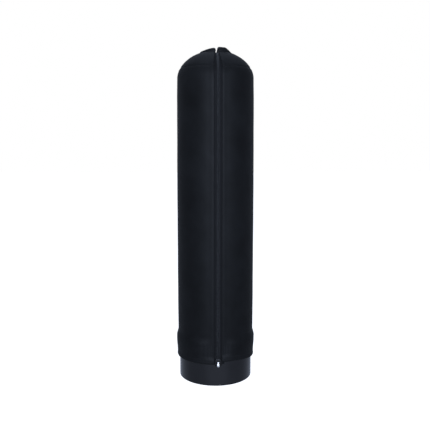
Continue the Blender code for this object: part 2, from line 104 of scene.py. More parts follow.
def stations(start, end, step, first_rim=0.0, last_rim=0.0):
    """Places from start to end about a step apart, closer together within a rim's radius of an end."""
    way = 1 if end > start else -1
    total = abs(end - start)
    inner = np.linspace(first_rim, total - last_rim, max(int(round(total / step)), 1) + 1)
    near = np.array([0.0, 0.07, 0.25, 0.55])
    parts = [near * first_rim] if first_rim else []
    parts.append(inner)
    if last_rim:
        parts.append(total - near[::-1] * last_rim)
    return start + way * np.concatenate(parts)


def grid_normals(points):
    """Unit normals of a grid whose rows run down and whose columns run to the right of its outer face."""
    normals = np.cross(np.gradient(points, axis=0), np.gradient(points, axis=1))
    return normals / np.maximum(np.linalg.norm(normals, axis=-1, keepdims=True), 1e-12)


def edge_distance(points, axis):
    steps = np.linalg.norm(np.diff(points, axis=axis), axis=-1)
    zero = np.zeros_like(np.take(steps, [0], axis=axis))
    gone = np.concatenate([zero, np.cumsum(steps, axis=axis)], axis=axis)
    return np.minimum(gone, np.take(gone, [-1], axis=axis) - gone)


def rim_share(points, radius):
    """1 inside a piece, falling along a quarter circle to nearly 0 at its edges."""
    near = np.minimum(edge_distance(points, 0), edge_distance(points, 1))
    inset = 1 - np.clip(near / radius, 0, 1)
    return np.maximum(np.sqrt(1 - inset**2), 0.12)


def nearest(values, wanted):
    """The index of the value closest to the one wanted."""
    return int(np.argmin(np.abs(values - wanted)))


def from_zip(angle):
    """Angles up to a whole turn as angles to the right, above 0, or to the left of the zip."""
    return np.where(angle > math.pi, angle - math.tau, angle)


def strip_faces(first, second):
    """Quads between two equally long lines of vertex numbers."""
    return np.stack([first[:-1], first[1:], second[1:], second[:-1]], axis=-1)


def grid_faces(index):
    quads = np.stack([index[:-1, :-1], index[1:, :-1], index[1:, 1:], index[:-1, 1:]], axis=-1)
    return quads.reshape(-1, 4)


def skin_faces(shape):
    """The faces of two grids of one shape, the outer and then the inner, joined round their rims."""
    front = np.arange(shape[0] * shape[1]).reshape(shape)
    back = front + front.size
    return np.concatenate([
        grid_faces(front),
        grid_faces(back)[:, ::-1],
        strip_faces(front[0], back[0]),
        strip_faces(back[-1], front[-1]),
        strip_faces(back[:, 0], front[:, 0]),
        strip_faces(front[:, -1], back[:, -1]),
    ])


def hoop_faces(shape, joined=False):
    """The faces of a tube whose rows are loops. Its ends are capped, or joined to each other."""
    index = np.arange(shape[0] * shape[1]).reshape(shape)
    if joined:
        index = np.concatenate([index, index[:1]])
    faces = grid_faces(np.concatenate([index, index[:, :1]], axis=1)).tolist()
    return faces if joined else faces + [index[0].tolist(), index[-1][::-1].tolist()]


def add_mesh(name, points, faces, finish, body=TUBE_BODY, sharp=40):
    """A smooth-shaded object with its faces pointing out, riding on a body of the frame. Points that no face
    uses are left out."""
    mesh = bpy.data.meshes.new(name)
    mesh.from_pydata(np.reshape(points, (-1, 3)).tolist(), [], [list(map(int, face)) for face in faces])
    builder = bmesh.new()
    builder.from_mesh(mesh)
    loose = [vert for vert in builder.verts if not vert.link_faces]
    bmesh.ops.delete(builder, geom=loose, context="VERTS")
    if builder.calc_volume(signed=True) < 0:
        bmesh.ops.reverse_faces(builder, faces=builder.faces)
    builder.to_mesh(mesh)
    builder.free()
    mesh.materials.append(finish)
    mesh.shade_smooth()
    mesh.set_sharp_from_angle(angle=math.radians(sharp))
    piece = bpy.data.objects.new(name, mesh)
    bpy.context.scene.collection.objects.link(piece)
    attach(piece, body)
    return piece


def soften(piece, width, segments=2, degrees=50):
    """Rounds the edges where faces turn by more than some degrees."""
    modifier = piece.modifiers.new("edges", "BEVEL")
    modifier.width, modifier.segments = width, segments
    modifier.limit_method, modifier.angle_limit = "ANGLE", math.radians(degrees)


def cloth(name, middle, thick, finish, lift=None):
    """A closed piece of fabric about a grid of points on its middle, with rounded edges.
    Returns the piece and the points and normals of its outer face."""
    if lift is not None:
        middle = middle + grid_normals(middle) * lift[..., None]
    normals = grid_normals(middle)
    half = (0.5 * thick * rim_share(middle, thick / 2))[..., None]
    outer, inner = middle + normals * half, middle - normals * half
    piece = add_mesh(name, np.stack([outer, inner]), skin_faces(middle.shape[:2]), finish)
    return piece, outer, normals


def rounded(outline, radius, steps=4):
    """A closed outline with every corner rounded, as far as its sides are long enough."""
    made = []
    points = [np.array(point, float) for point in outline]
    for i, corner in enumerate(points):
        before, after = points[i - 1] - corner, points[(i + 1) % len(points)] - corner
        reach = min(radius, 0.45 * np.linalg.norm(before), 0.45 * np.linalg.norm(after))
        start = corner + before / np.linalg.norm(before) * reach
        end = corner + after / np.linalg.norm(after) * reach
        for share in np.linspace(0, 1, steps + 1):
            made.append(start * (1 - share) ** 2 + 2 * corner * share * (1 - share) + end * share**2)
    return np.array(made)


def lathe(name, section, finish, columns=192, depth=None):
    """A ring: a closed outline of (radius, height), turned about the tube's axis. depth(angle, height) moves
    its surface inwards."""
    section = np.asarray(section)
    angles = np.arange(columns) * math.tau / columns
    radius, height = section[:, :1], section[:, 1:]
    if depth is not None:
        radius = radius - depth(angles[None, :], height, radius)
    points = polar(radius, angles[None, :], height)
    return add_mesh(name, points, hoop_faces(points.shape[:2], joined=True), finish)


def tube_mesh(line, across, radius, sides):
    """(points, faces) of a round tube along a line. across is a direction, for each point, that isn't the
    line's own. radius may change along it."""
    tangent = np.gradient(line, axis=0)
    first = np.cross(tangent, across)
    first /= np.linalg.norm(first, axis=-1, keepdims=True)
    second = np.cross(tangent, first)
    second /= np.linalg.norm(second, axis=-1, keepdims=True)
    turns = np.arange(sides) * math.tau / sides
    ring = first[:, None] * np.cos(turns)[:, None] + second[:, None] * np.sin(turns)[:, None]
    points = line[:, None] + ring * np.broadcast_to(radius, len(line))[:, None, None]
    return points.reshape(-1, 3), hoop_faces(points.shape[:2])


def resample(line, spacing):
    """Points at even distances along a line, as fractional indices of the line."""
    length = np.concatenate([[0], np.cumsum(np.linalg.norm(np.diff(line, axis=0), axis=-1))])
    count = max(int(length[-1] / spacing), 1)
    wanted = (np.arange(count) + 0.5) * length[-1] / count
    return np.interp(wanted, length, np.arange(len(line)))


def at_index(values, index):
    """A line's values at fractional indices."""
    low = np.clip(np.floor(index).astype(int), 0, len(values) - 2)
    part = (index - low)[:, None]
    return values[low] * (1 - part) + values[low + 1] * part


def stitching(name, seams, finish, pitch=0.0031, length=0.0022, thread=0.00017):
    """Rows of thread stitches. seams are (points, normals) along the face of a fabric."""
    points, faces, count = [], [], 0
    shares = np.linspace(-1, 1, 7)
    for line, normals in seams:
        index = resample(line, pitch)
        centres, ups = at_index(line, index), at_index(normals, index)
        ways = at_index(np.gradient(line, axis=0), index)
        for centre, up, way in zip(centres, ups, ways):
            way = way / np.linalg.norm(way)
            rise = thread * (1.1 * np.cos(shares * math.pi / 2) - 0.75)
            run = centre + way * shares[:, None] * length / 2 + up * rise[:, None]
            width = thread * (0.55 + 0.45 * np.cos(shares * math.pi / 2))
            made, sides = tube_mesh(run, np.cross(up, way), width, 6)
            faces += [[number + count for number in face] for face in sides]
            points.append(made)
            count += len(made)
    return add_mesh(name, np.concatenate(points), faces, finish)


# ------------------------ materials

def add_node(tree, kind, *inputs, **settings):
    """A shader node whose inputs are filled in order, with values or other nodes' outputs. A node stands for
    its first output, and None leaves an input as it is."""
    made = tree.nodes.new("ShaderNode" + kind)
    for key, value in settings.items():
        if key in made.bl_rna.properties:
            setattr(made, key, value)
        else:
            made.inputs[key].default_value = value
    for socket, value in zip(made.inputs, inputs):
        if isinstance(value, bpy.types.Node):
            value = value.outputs[0]
        if isinstance(value, bpy.types.NodeSocket):
            tree.links.new(value, socket)
        elif value is not None:
            socket.default_value = value
    return made


class Finish:
    """A material whose colour, roughness and bump come from procedural nodes."""

    def __init__(self, name, colour, roughness, metallic=0.0, specular=0.5):
        self.material = bpy.data.materials.new(name)
        self.material.use_nodes = True
        self.tree = self.material.node_tree
        self.shader = self.tree.nodes["Principled BSDF"]
        self.colour, self.roughness = colour, roughness
        self.shader.inputs["Base Color"].default_value = (*colour, 1)
        self.shader.inputs["Roughness"].default_value = roughness
        self.shader.inputs["Metallic"].default_value = metallic
        self.shader.inputs["Specular IOR Level"].default_value = specular
        self.place = self.node("TexCoord").outputs["Object"]

    def node(self, kind, *inputs, **settings):
        return add_node(self.tree, kind, *inputs, **settings)

    def math(self, operation, *values):
        return self.node("Math", *values, operation=operation).outputs[0]

    def scaled(self, value, factor, offset=0.0):
        return self.math("MULTIPLY_ADD", value, factor, offset)

    def noise(self, scale, detail=3.0, rough=0.55):
        made = self.node("TexNoise", self.place, Scale=scale, Detail=detail, Roughness=rough)
        return made.outputs["Fac"]

    def voronoi(self, scale, feature="F1"):
        return self.node("TexVoronoi", self.place, feature=feature, Scale=scale).outputs["Distance"]

    def axes(self):
        return tuple(self.node("SeparateXYZ", self.place).outputs)

    def around(self):
        """(distance round the tube, height), both in metres."""
        x, y, z = self.axes()
        turn = self.math("ARCTAN2", x, self.math("MULTIPLY", y, -1.0))
        return self.math("MULTIPLY", turn, COVER_R), z

    def over(self):
        """(distance to the side, distance along a line over the crown from front to back), in metres."""
        x, y, z = self.axes()
        turn = self.math("ARCTAN2", y, self.math("SUBTRACT", z, SHOULDER - 0.012))
        return x, self.math("MULTIPLY", turn, 0.046)

    def wave(self, value, period, phase=None):
        turn = self.math("MULTIPLY", value, math.tau / period)
        return self.math("SINE", self.math("ADD", turn, phase) if phase else turn)

    def knit(self, across, along, wale=0.00078, course=0.00062):
        """Height of a fine jersey: columns of small v-shaped loops."""
        column = self.math("ABSOLUTE", self.wave(across, 2 * wale))
        loop = self.wave(along, course, self.math("MULTIPLY", column, 2.3))
        return self.math("MULTIPLY", column, self.scaled(loop, 0.38, 0.62))

    def twill(self, across, along, pitch=0.0007):
        """Height of a narrow woven tape: slanting ribs that turn over at every few threads."""
        zigzag = self.math("PINGPONG", across, 0.0016)
        ribs = self.wave(self.math("ADD", along, zigzag), pitch)
        return self.scaled(ribs, 0.5, 0.5)

    def feed(self, socket, value):
        self.tree.links.new(value, self.shader.inputs[socket])
        return self

    def tint(self, amount, spread):
        """Varies the colour with a value from 0 to 1, spread of its brightness to each side."""
        ramp = self.node("ValToRGB", amount)
        for element, place, side in zip(ramp.color_ramp.elements, (0.3, 0.7), (-1, 1)):
            element.position = place
            element.color = (*(c * (1 + side * spread) for c in self.colour), 1)
        return self.feed("Base Color", ramp.outputs["Color"])

    def polish(self, amount, spread):
        """Varies the roughness with a value from 0 to 1."""
        return self.feed("Roughness", self.scaled(amount, 2 * spread, self.roughness - spread))

    def bump(self, *layers):
        """Layers of (height, distance in metres, strength), the finest last."""
        normal = None
        for height, distance, strength in layers:
            made = self.node("Bump", Strength=strength, Distance=distance)
            self.tree.links.new(height, made.inputs["Height"])
            if normal:
                self.tree.links.new(normal, made.inputs["Normal"])
            normal = made.outputs["Normal"]
        return self.feed("Normal", normal)


FABRIC_COLOUR = (0.0050, 0.0054, 0.0060)


def stretch_fabric(name, layout, brightness=1.0):
    """The cover's laminated jersey, with its loops round the tube or over the crown. A brightness above 1 is
    painted light: a lighter copy of the jersey where the top lamp falls.
    """
    colour = tuple(brightness * c for c in FABRIC_COLOUR)
    made = Finish(name, colour, 0.57, specular=0.14)
    across, along = made.around() if layout == "around" else made.over()
    loops = made.knit(across, along)
    cloudy = made.noise(34, 4)
    made.tint(made.math("ADD", made.scaled(cloudy, 0.75), made.scaled(loops, 0.22)), 0.38)
    made.polish(made.noise(120, 3), 0.07)
    return made.bump((made.noise(60, 3), 0.0006, 0.12), (loops, 0.00008, 0.42)).material


def gloss_plastic():
    made = Finish("gloss_black_plastic", (0.0085, 0.0085, 0.0095), 0.20)
    made.tint(made.noise(55, 2), 0.12)
    made.polish(made.noise(180, 4, 0.6), 0.035)
    return made.bump((made.noise(90, 2), 0.0002, 0.06), (made.noise(2600, 2), 0.00002, 0.10)).material


def plain(name, colour, roughness, cloud, wear, grain, **more):
    """A finish of nearly one colour. cloud and wear are (scale, detail, spread) of the noise in its colour
    and its roughness, and grain is (scale, depth, strength) of its bump."""
    made = Finish(name, colour, roughness, **more)
    made.tint(made.noise(*cloud[:2]), cloud[2])
    if wear:
        made.polish(made.noise(*wear[:2]), wear[2])
    return made.bump((made.noise(grain[0], 2), *grain[1:])).material


def plain_finishes():
    """Moulded plastic, rubber, the coils' nylon, sewing thread, lacquer, nickel and zinc-plated steel."""
    return (
        plain("moulded_black_plastic", (0.016, 0.016, 0.018), 0.58, (80, 3, 0.15), (240, 3, 0.06),
              (1900, 0.00004, 0.35), specular=0.25),
        plain("black_rubber", (0.014, 0.014, 0.014), 0.70, (140, 3, 0.2), (300, 3, 0.06),
              (1500, 0.00003, 0.25)),
        plain("nylon_coil", (0.024, 0.025, 0.027), 0.50, (420, 2, 0.2), (700, 2, 0.06), (3200, 0.00002, 0.2),
              specular=0.40),
        plain("black_thread", (0.0075, 0.0080, 0.0092), 0.60, (900, 2, 0.3), None, (5200, 0.00005, 0.7),
              specular=0.30),
        plain("black_lacquered_metal", (0.004, 0.004, 0.0045), 0.36, (500, 3, 0.25), (700, 3, 0.06),
              (1800, 0.00003, 0.25), specular=0.32),
        plain("bright_nickel", (0.97, 0.965, 0.95), 0.46, (900, 3, 0.02), (1300, 3, 0.05),
              (2400, 0.00002, 0.15), metallic=1.0),
        plain("zinc_plated_steel", (0.46, 0.47, 0.49), 0.34, (700, 3, 0.12), (1500, 3, 0.08),
              (2600, 0.00003, 0.2), metallic=1.0),
    )


def open_foam():
    made = Finish("charcoal_foam", (0.028, 0.029, 0.032), 0.95)
    cells = made.voronoi(1150)
    made.tint(made.math("ADD", made.scaled(cells, 0.7), made.scaled(made.noise(60, 3), 0.4)), 0.45)
    return made.bump((made.noise(260, 3), 0.0005, 0.25), (cells, 0.0006, 0.7)).material


def zip_webbing():
    made = Finish("zip_tape_fabric", (0.0052, 0.0055, 0.0062), 0.68, specular=0.12)
    x, _, z = made.axes()
    ribs = made.twill(x, z)
    made.tint(made.math("ADD", made.scaled(ribs, 0.5), made.scaled(made.noise(200, 3), 0.5)), 0.4)
    made.polish(made.noise(260, 2), 0.05)
    return made.bump((ribs, 0.00010, 0.6)).material


def elastic_band():
    made = Finish("black_elastic", (0.015, 0.015, 0.017), 0.72)
    around, _ = made.around()
    ribs = made.scaled(made.wave(around, 0.0011), 0.5, 0.5)
    made.tint(made.math("ADD", made.scaled(ribs, 0.6), made.scaled(made.noise(220, 2), 0.4)), 0.35)
    return made.bump((ribs, 0.00018, 0.8)).material


# ------------------------ the cover

def middle_radius(height):
    """Radius of the middle of the cover's fabric where nothing pushes it out."""
    low = np.exp(-np.maximum(height - 0.0625, 0) / 0.015)
    tube = COVER_R - (COVER_R - BASE_R) * low
    tube = tube - 0.00042 * smooth_step((height - 0.260) / 0.108)
    tube = tube - 0.00043 * smooth_step((height - 0.368) / (SHOULDER - 0.368))
    share = np.clip((height - SHOULDER) / (CROWN_TALL - FABRIC / 2), 0, 1)
    crown = (SHOULDER_R - FABRIC / 2) * (1 - share**CROWN_POWER) ** (1 / CROWN_POWER)
    return np.where(height > SHOULDER, crown, tube - FABRIC / 2)


def crown_middle(radius):
    """Height of the crown's middle surface at a distance from the axis."""
    share = np.clip(radius / (SHOULDER_R - FABRIC / 2), 0, 1)
    return SHOULDER + (CROWN_TALL - FABRIC / 2) * (1 - share**CROWN_POWER) ** (1 / CROWN_POWER)


def dome_outline(turns):
    """(radius, height) of a dome of the crown's form, 1 wide and 1 tall, at angles up from its rim."""
    return np.stack([np.cos(turns), np.sin(turns)], axis=-1) ** (2 / CROWN_POWER)


def side_share(angle):
    """0 at the zip, rising to 1 at 30 degrees from it: the bulge fades out so that the zip stays straight."""
    return smooth_step((np.abs(angle) - math.radians(7.5)) / math.radians(22.5))


def bulge(height, angle):
    """How far the cover stands out over the collar at the sides and back, and over the hem at the front."""
    over_collar = 0.0021 * smooth_step((0.0650 - height) / 0.0105)
    over_collar = over_collar - 0.0010 * smooth_step((0.050 - height) / 0.017)
    over_hem = 0.0011 * smooth_step((0.039 - height) / 0.006)
    share = side_share(angle)
    rolled = 0.0003 * np.exp(-(((height - HEM_FOLD) / 0.0021) ** 2))
    return share * over_collar + (1 - share) * over_hem + rolled


def hem_rise(angle):
    """The zip pulls the hem up at the front, more on its right."""
    peak = np.where(angle < 0, 0.0010, 0.0043)
    return peak * smooth_step((math.radians(75) - np.abs(angle)) / math.radians(55))


def edge_lift(away):
    """How far the fabric stands up beside the zip, at a distance from the zip's middle."""
    return LIP * smooth_step((LIP_END - away) / (LIP_END - EDGE_X))


def puckers(height, across):
    """Short gathers beside the zip above the hem."""
    window = smooth_step((0.0600 - height) / 0.007) * smooth_step((height - 0.034) / 0.006)
    made = 0
    for place, depth, width in ((-0.0078, 0.42, 0.0007), (-0.0103, 0.34, 0.0008), (-0.0142, 0.26, 0.0012),
                                (-0.0196, 0.16, 0.0016), (0.0075, 0.38, 0.0007), (0.0101, 0.30, 0.0009),
                                (0.0139, 0.22, 0.0013), (0.0204, 0.14, 0.0017)):
        made = made + 0.001 * depth * np.exp(-(((across - place) / width) ** 2))
    return -made * window


def cover_columns():
    """Signed angles round the cover, from the zip's right side round the back to its left."""
    rim = FABRIC / 2
    close = stations(0.0, 0.030, 0.0009, first_rim=rim)
    whole = math.tau * COVER_R - 2 * EDGE_X
    wide = np.linspace(0.030, whole - 0.030, 98)[1:-1]
    arc = np.concatenate([close, wide, whole - close[::-1]])
    start = math.asin(EDGE_X / COVER_R)
    return start + arc / whole * (math.tau - 2 * start)


def make_cover(finish, thread):
    """One wrap of fabric: down from the crown seam, round the hem's fold and up inside as its flap."""
    angles = cover_columns()
    signed = from_zip(angles)[None, :]
    rim = FABRIC / 2
    down = np.concatenate([
        stations(SEAM - SEAM_GAP, SHOULDER, 0.0010, first_rim=rim),
        stations(SHOULDER, BULGE_TOP, 0.0027)[1:],
        stations(BULGE_TOP, HEM_FOLD, 0.0008)[1:],
    ])[:, None]
    outside = middle_radius(down) + bulge(down, signed)
    fold_r = (outside[-1:] - FLAP_MID) / 2
    turn = np.linspace(0, math.pi, 10)[1:-1, None]
    fold_radius = FLAP_MID + fold_r + fold_r * np.cos(turn)
    fold_height = HEM_FOLD - fold_r * np.sin(turn)
    up = stations(HEM_FOLD, HEM_FOLD + FLAP_TALL, 0.0008, last_rim=rim)[:, None]
    radius = np.concatenate([outside, fold_radius, np.full((len(up), signed.size), FLAP_MID)])
    height = [np.broadcast_to(part, (len(part), signed.size)) for part in (down, fold_height, up)]
    height = np.concatenate(height)
    across = radius * np.sin(signed)
    near_front = np.cos(signed) > 0
    away = np.where(near_front, np.abs(across), 1.0)
    is_outside = (np.arange(len(radius)) < len(down))[:, None]
    low_lift = 1 - 0.75 * smooth_step((0.041 - height) / 0.006)
    lift = edge_lift(away) * low_lift * is_outside
    lift = lift + puckers(height, np.where(near_front, across, 1.0)) * is_outside
    lift = lift - SEAM_GROOVE * np.exp(-(((SEAM - height) / 0.0009) ** 2)) * is_outside
    lift = lift + 0.00007 * np.sin(11 * signed + 40 * height) * np.sin(90 * height + 3 * signed) * is_outside
    height = height + hem_rise(signed) * smooth_step((0.058 - height) / 0.022)
    middle = polar(radius, signed, height)
    cover, face, normals = cloth("cover_cloth", middle, FABRIC, finish, lift)
    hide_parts("cover_body", "hem_channel")

    along = edge_distance(face[len(down) // 2:len(down) // 2 + 1], 1)[0]
    right = nearest(along[:40], 0.0024)
    rows = slice(4, len(down) - 2)
    inside = slice(right + 2, len(along) - right - 2)
    places = [(rows, right), (rows, len(along) - 1 - right)]
    places += [(nearest(down[:, 0], at), inside) for at in (HEM_FOLD + FLAP_TALL - 0.0008, SEAM - 0.0021)]
    seams = [(face[place], normals[place]) for place in places]
    return cover, stitching("cover_stitching", seams, thread)


def make_crown(side, finish, thread):
    """Half of the domed crown, sewn to the cover below, with a seam at the back and an edge along the zip
    that closes in past the zip's end."""
    rim = FABRIC / 2
    bottom_share = (SEAM + SEAM_GAP - SHOULDER) / (CROWN_TALL - rim)
    bottom_r = (SHOULDER_R - rim) * (1 - bottom_share**CROWN_POWER) ** (1 / CROWN_POWER)
    radii = stations(CROWN_HOLE_R, bottom_r, 0.0011, rim, rim)[:, None]
    near_edge = CLOSED_EDGE + (NARROW_EDGE - CLOSED_EDGE) * smooth_step((radii - 0.0215) / 0.0065)
    near_edge = near_edge + (EDGE_X - NARROW_EDGE) * smooth_step((radii - 0.033) / 0.014)
    first = np.arcsin(near_edge / radii)
    last = math.pi - np.arcsin(SEAM_GAP / radii)
    arc = stations(0.0, 0.140, 0.0016, rim, rim)[None, :] / 0.140
    angle = first + (last - first) * arc
    angle = angle if side > 0 else -angle[:, ::-1]
    radius = np.broadcast_to(radii, angle.shape)
    height = crown_middle(radius)
    across, depth = np.abs(radius * np.sin(angle)), radius * np.cos(angle)
    shrink = smooth_step((radius - 0.0220) / 0.0085)
    lift = np.where(depth > 0, edge_lift(across - near_edge + EDGE_X), 0) * shrink
    lift = lift - 0.00045 * np.exp(-((across / 0.0012) ** 2)) * (depth < 0)
    lift = lift - SEAM_GROOVE * np.exp(-(((bottom_r - radius) / 0.0010) ** 2))
    lift = lift + 0.00008 * np.sin(9 * angle + 1) * np.sin(240 * radius)
    middle = polar(radius, angle, height)
    word = SIDE_WORD[side]
    crown, face, normals = cloth(f"crown_cloth_{word}", middle, FABRIC, finish, lift)
    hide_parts(f"crown_{word}")

    count = face.shape[1]
    row = nearest(radii[:, 0], bottom_r - 0.0017)
    column = nearest(edge_distance(face[row:row + 1], 1)[0, :count // 3], 0.0023)
    zip_side = column if side > 0 else count - 1 - column
    beside_zip = slice(nearest(radii[:, 0], 0.0240), row)
    places = [(row, slice(8, count - 8)), (beside_zip, zip_side), (slice(6, row), count - 1 - zip_side)]
    seams = [(face[place], normals[place]) for place in places]
    return crown, stitching(f"crown_stitching_{word}", seams, thread)


def pad_thickness(side, x):
    """The left pad thins away from the slit. The right one is a flat-topped block that slopes off."""
    if side < 0:
        return 0.0029 - 0.0015 * smooth_step((x - 0.003) / 0.016)
    top = 0.0039 + 0.0008 * np.clip(x / 0.012, 0, 1)
    return np.maximum(top - 0.0046 * np.clip((x - 0.0122) / 0.0085, 0, 1), 0.0006)


def pad_base(radius):
    """Height of the pads' lower face, on the crown."""
    return crown_middle(radius) + FABRIC / 2 + 0.0001


def make_pad(side, finish, thread):
    """Half-moon pad on the crown: a sewn fabric skin over a little foam, with a leaning wall at the slit."""
    edge, slit_low, slit_high = (0.0204, 0.0006, 0.0012) if side < 0 else (0.0214, 0.0019, 0.0027)
    wall = np.linspace(0, 1, 5)
    lean = slit_low + (slit_high - slit_low) * wall
    away = (1 - np.cos(np.linspace(0, 1, 34)[1:] * math.pi / 2)) ** 0.62
    rest = slit_high + (edge * 0.999 - slit_high) * away
    xs = np.concatenate([lean, rest])[None, :]
    stands = np.concatenate([wall, np.ones(len(rest))])[None, :]
    stands = np.minimum(stands, 1 - 0.10 * np.exp(-((xs - slit_high) / 0.0007) ** 2))
    swing = np.linspace(-1, 1, 57)[:, None]
    reach = np.sqrt(np.maximum(edge**2 - xs**2, 1e-10))
    ys = reach * np.sin(swing * math.pi / 2)
    radius = np.hypot(xs, ys)
    base = pad_base(radius)
    inset = 1 - np.clip((edge - radius) / 0.0020, 0, 1)
    rounding = np.sqrt(np.maximum(1 - inset**2, 0))
    puffed = 1 - 0.16 * np.exp(-(((edge - PAD_STITCH - radius) / 0.0008) ** 2))
    wrinkle = 1 + 0.035 * np.sin(620 * ys + 190 * xs) * np.sin(410 * xs)
    high = base + pad_thickness(side, xs) * stands * rounding * puffed * wrinkle
    across = side * np.broadcast_to(xs, ys.shape)
    top = np.stack([across, ys, high], axis=-1)
    under = np.stack([across, ys, base - 0.0002], axis=-1)
    word = SIDE_WORD[side]
    faces = skin_faces(top.shape[:2])
    pad = add_mesh(f"crown_pad_{word}", np.stack([top, under]), faces, finish, sharp=60)
    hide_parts(f"crown_patch_{word}")

    turn = np.linspace(-1.30, 1.30, 60)
    radius = edge - PAD_STITCH
    x, y = radius * np.cos(turn), radius * np.sin(turn)
    z = pad_base(radius) + pad_thickness(side, x) * 0.84
    line = np.stack([side * x, y, z], axis=-1)
    up = np.broadcast_to([0.0, 0.0, 1.0], line.shape)
    stitching(f"pad_stitching_{word}", [(line, up)], thread, pitch=0.0028, length=0.0019)


# ------------------------ the zip

def zip_line(count, low, end):
    """(points, outward normals, length) along the middle of the zip's tapes, evenly spaced: up the tube from
    the height low and over the crown as far as end, a distance from the axis."""
    over = SHOULDER + CROWN_TALL * np.linspace(0, 1, 200)[1:]
    height = np.concatenate([np.linspace(ZIP_LOW, SHOULDER, 300), over])
    distance = middle_radius(height)
    distance = np.where(height < BULGE_TOP, BASE_R - FABRIC / 2, distance)
    far = crown_middle(np.linspace(distance[-120], 0.015, 400))
    keep = height < crown_middle(distance[-120])
    distance = np.concatenate([distance[keep], np.linspace(distance[-120], 0.015, 400)])
    height = np.concatenate([height[keep], far])
    line = np.stack([np.zeros_like(height), -distance, height], axis=-1)
    start = np.interp(low, height, np.arange(len(height)))
    stop = np.interp(-end, -distance[300:], np.arange(300, len(distance)))
    line = at_index(line, np.linspace(start, stop, 3000))
    length = np.concatenate([[0], np.cumsum(np.linalg.norm(np.diff(line, axis=0), axis=-1))])
    even = at_index(line, np.interp(np.linspace(0, length[-1], count), length, np.arange(len(line))))
    tangent = np.gradient(even, axis=0)
    normal = np.cross([1.0, 0.0, 0.0], tangent)
    normal = normal / np.linalg.norm(normal, axis=-1, keepdims=True)
    return even, normal, length[-1]


def make_tape(side, finish):
    """A woven tape, flat under the coil and bending down under the edge of the cover."""
    line, normal, _ = zip_line(260, ZIP_LOW, TAPE_END)
    across = stations(0.0004, 0.0082, 0.0006, TAPE / 2, TAPE / 2)
    circle = TAPE_MID - 0.00072
    curved = np.sqrt(np.maximum((circle + edge_lift(across)) ** 2 - across**2, 0)) - TAPE_MID
    at_edge = math.sqrt((circle + LIP) ** 2 - EDGE_X**2) - TAPE_MID
    bend = at_edge * smooth_step((across - FLAT_X) / (EDGE_X - FLAT_X) * 0.75) / smooth_step(0.75)
    drop = np.where(across <= EDGE_X, bend, curved)
    points = line[:, None] + normal[:, None] * drop[None, :, None]
    points[..., 0] += side * across
    cut = 0.0028 if side > 0 else 0.0042
    low_end = smooth_step((ZIP_LOW + 0.010 - points[..., 2]) / 0.010)
    points[..., 2] += cut * smooth_step((across - 0.0030) / 0.0028) * low_end
    points = points[::-1] if side > 0 else points[::-1, ::-1]
    word = SIDE_WORD[side]
    tape, _, _ = cloth(f"zip_tape_cloth_{word}", points, TAPE, finish)
    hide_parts(f"zip_tape_{word}")
    return tape


def make_coil(side, finish, thread):
    """One side of the zip: a nylon wire wound into a flattened helix, half a turn out of step with the other
    side, and the two threads that sew it down."""
    _, _, length = zip_line(10, COIL_LOW, COIL_END)
    turns = int(length / COIL_PITCH)
    per_turn = 14
    line, normal, _ = zip_line(turns * per_turn + 1, COIL_LOW, COIL_END)
    turn = np.arange(len(line)) * math.tau / per_turn + (0 if side > 0 else math.pi)
    middle, reach = (COIL_NEAR + COIL_FAR) / 2, (COIL_FAR - COIL_NEAR) / 2 - WIRE_R
    points = line + normal * (COIL_OFFSET + COIL_RISE * np.sin(turn))[:, None]
    points[:, 0] += side * (middle - reach * np.cos(turn))
    along = np.gradient(line, axis=0)
    made, faces = tube_mesh(points, along, WIRE_R, 6)
    word = SIDE_WORD[side]
    coil = add_mesh(f"zip_coil_turns_{word}", made, faces, finish, sharp=80)
    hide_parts(f"zip_coil_{word}")
    top = line + normal * (COIL_OFFSET + COIL_RISE + WIRE_R + 0.00004)
    seams = [(top[::4] + [side * x, 0, 0], normal[::4]) for x in (0.00118, 0.00172)]
    stitching(f"coil_stitching_{word}", seams, thread, pitch=0.0024, length=0.0023, thread=0.00016)


def block(name, outline, near, far, finish, body, bevel):
    """A flat outline of (x, height) points made solid between two distances from the axis, with its edges
    bevelled."""
    points = np.array([[(x, -distance, z) for x, z in outline] for distance in (far, near)])
    piece = add_mesh(name, points, hoop_faces(points.shape[:2]), finish, body, sharp=35)
    soften(piece, bevel, segments=3)
    return piece


def fuse(pieces, name):
    """Unites overlapping pieces into the first one, and removes the others."""
    first = pieces[0]
    for other in pieces[1:]:
        modifier = first.modifiers.new("union", "BOOLEAN")
        modifier.operation, modifier.object = "UNION", other
    graph = bpy.context.evaluated_depsgraph_get()
    mesh = bpy.data.meshes.new_from_object(first.evaluated_get(graph))
    first.modifiers.clear()
    first.data = mesh
    mesh.shade_smooth()
    mesh.set_sharp_from_angle(angle=math.radians(50))
    for other in pieces[1:]:
        bpy.data.objects.remove(other, do_unlink=True)
    first.name = mesh.name = name
    return first


def rectangle(x0, z0, x1, z1):
    return [(x0, z0), (x1, z0), (x1, z1), (x0, z1)]


def crosswise(steps, sides):
    """Loops about the line that the pull turns on, from steps of (x, radius)."""
    turns = np.linspace(0, math.tau, sides + 1)[:-1]
    return np.array([[(x, -PULL_AXIS + radius * math.cos(turn), PULL_Z + radius * math.sin(turn))
                      for turn in turns] for x, radius in steps])


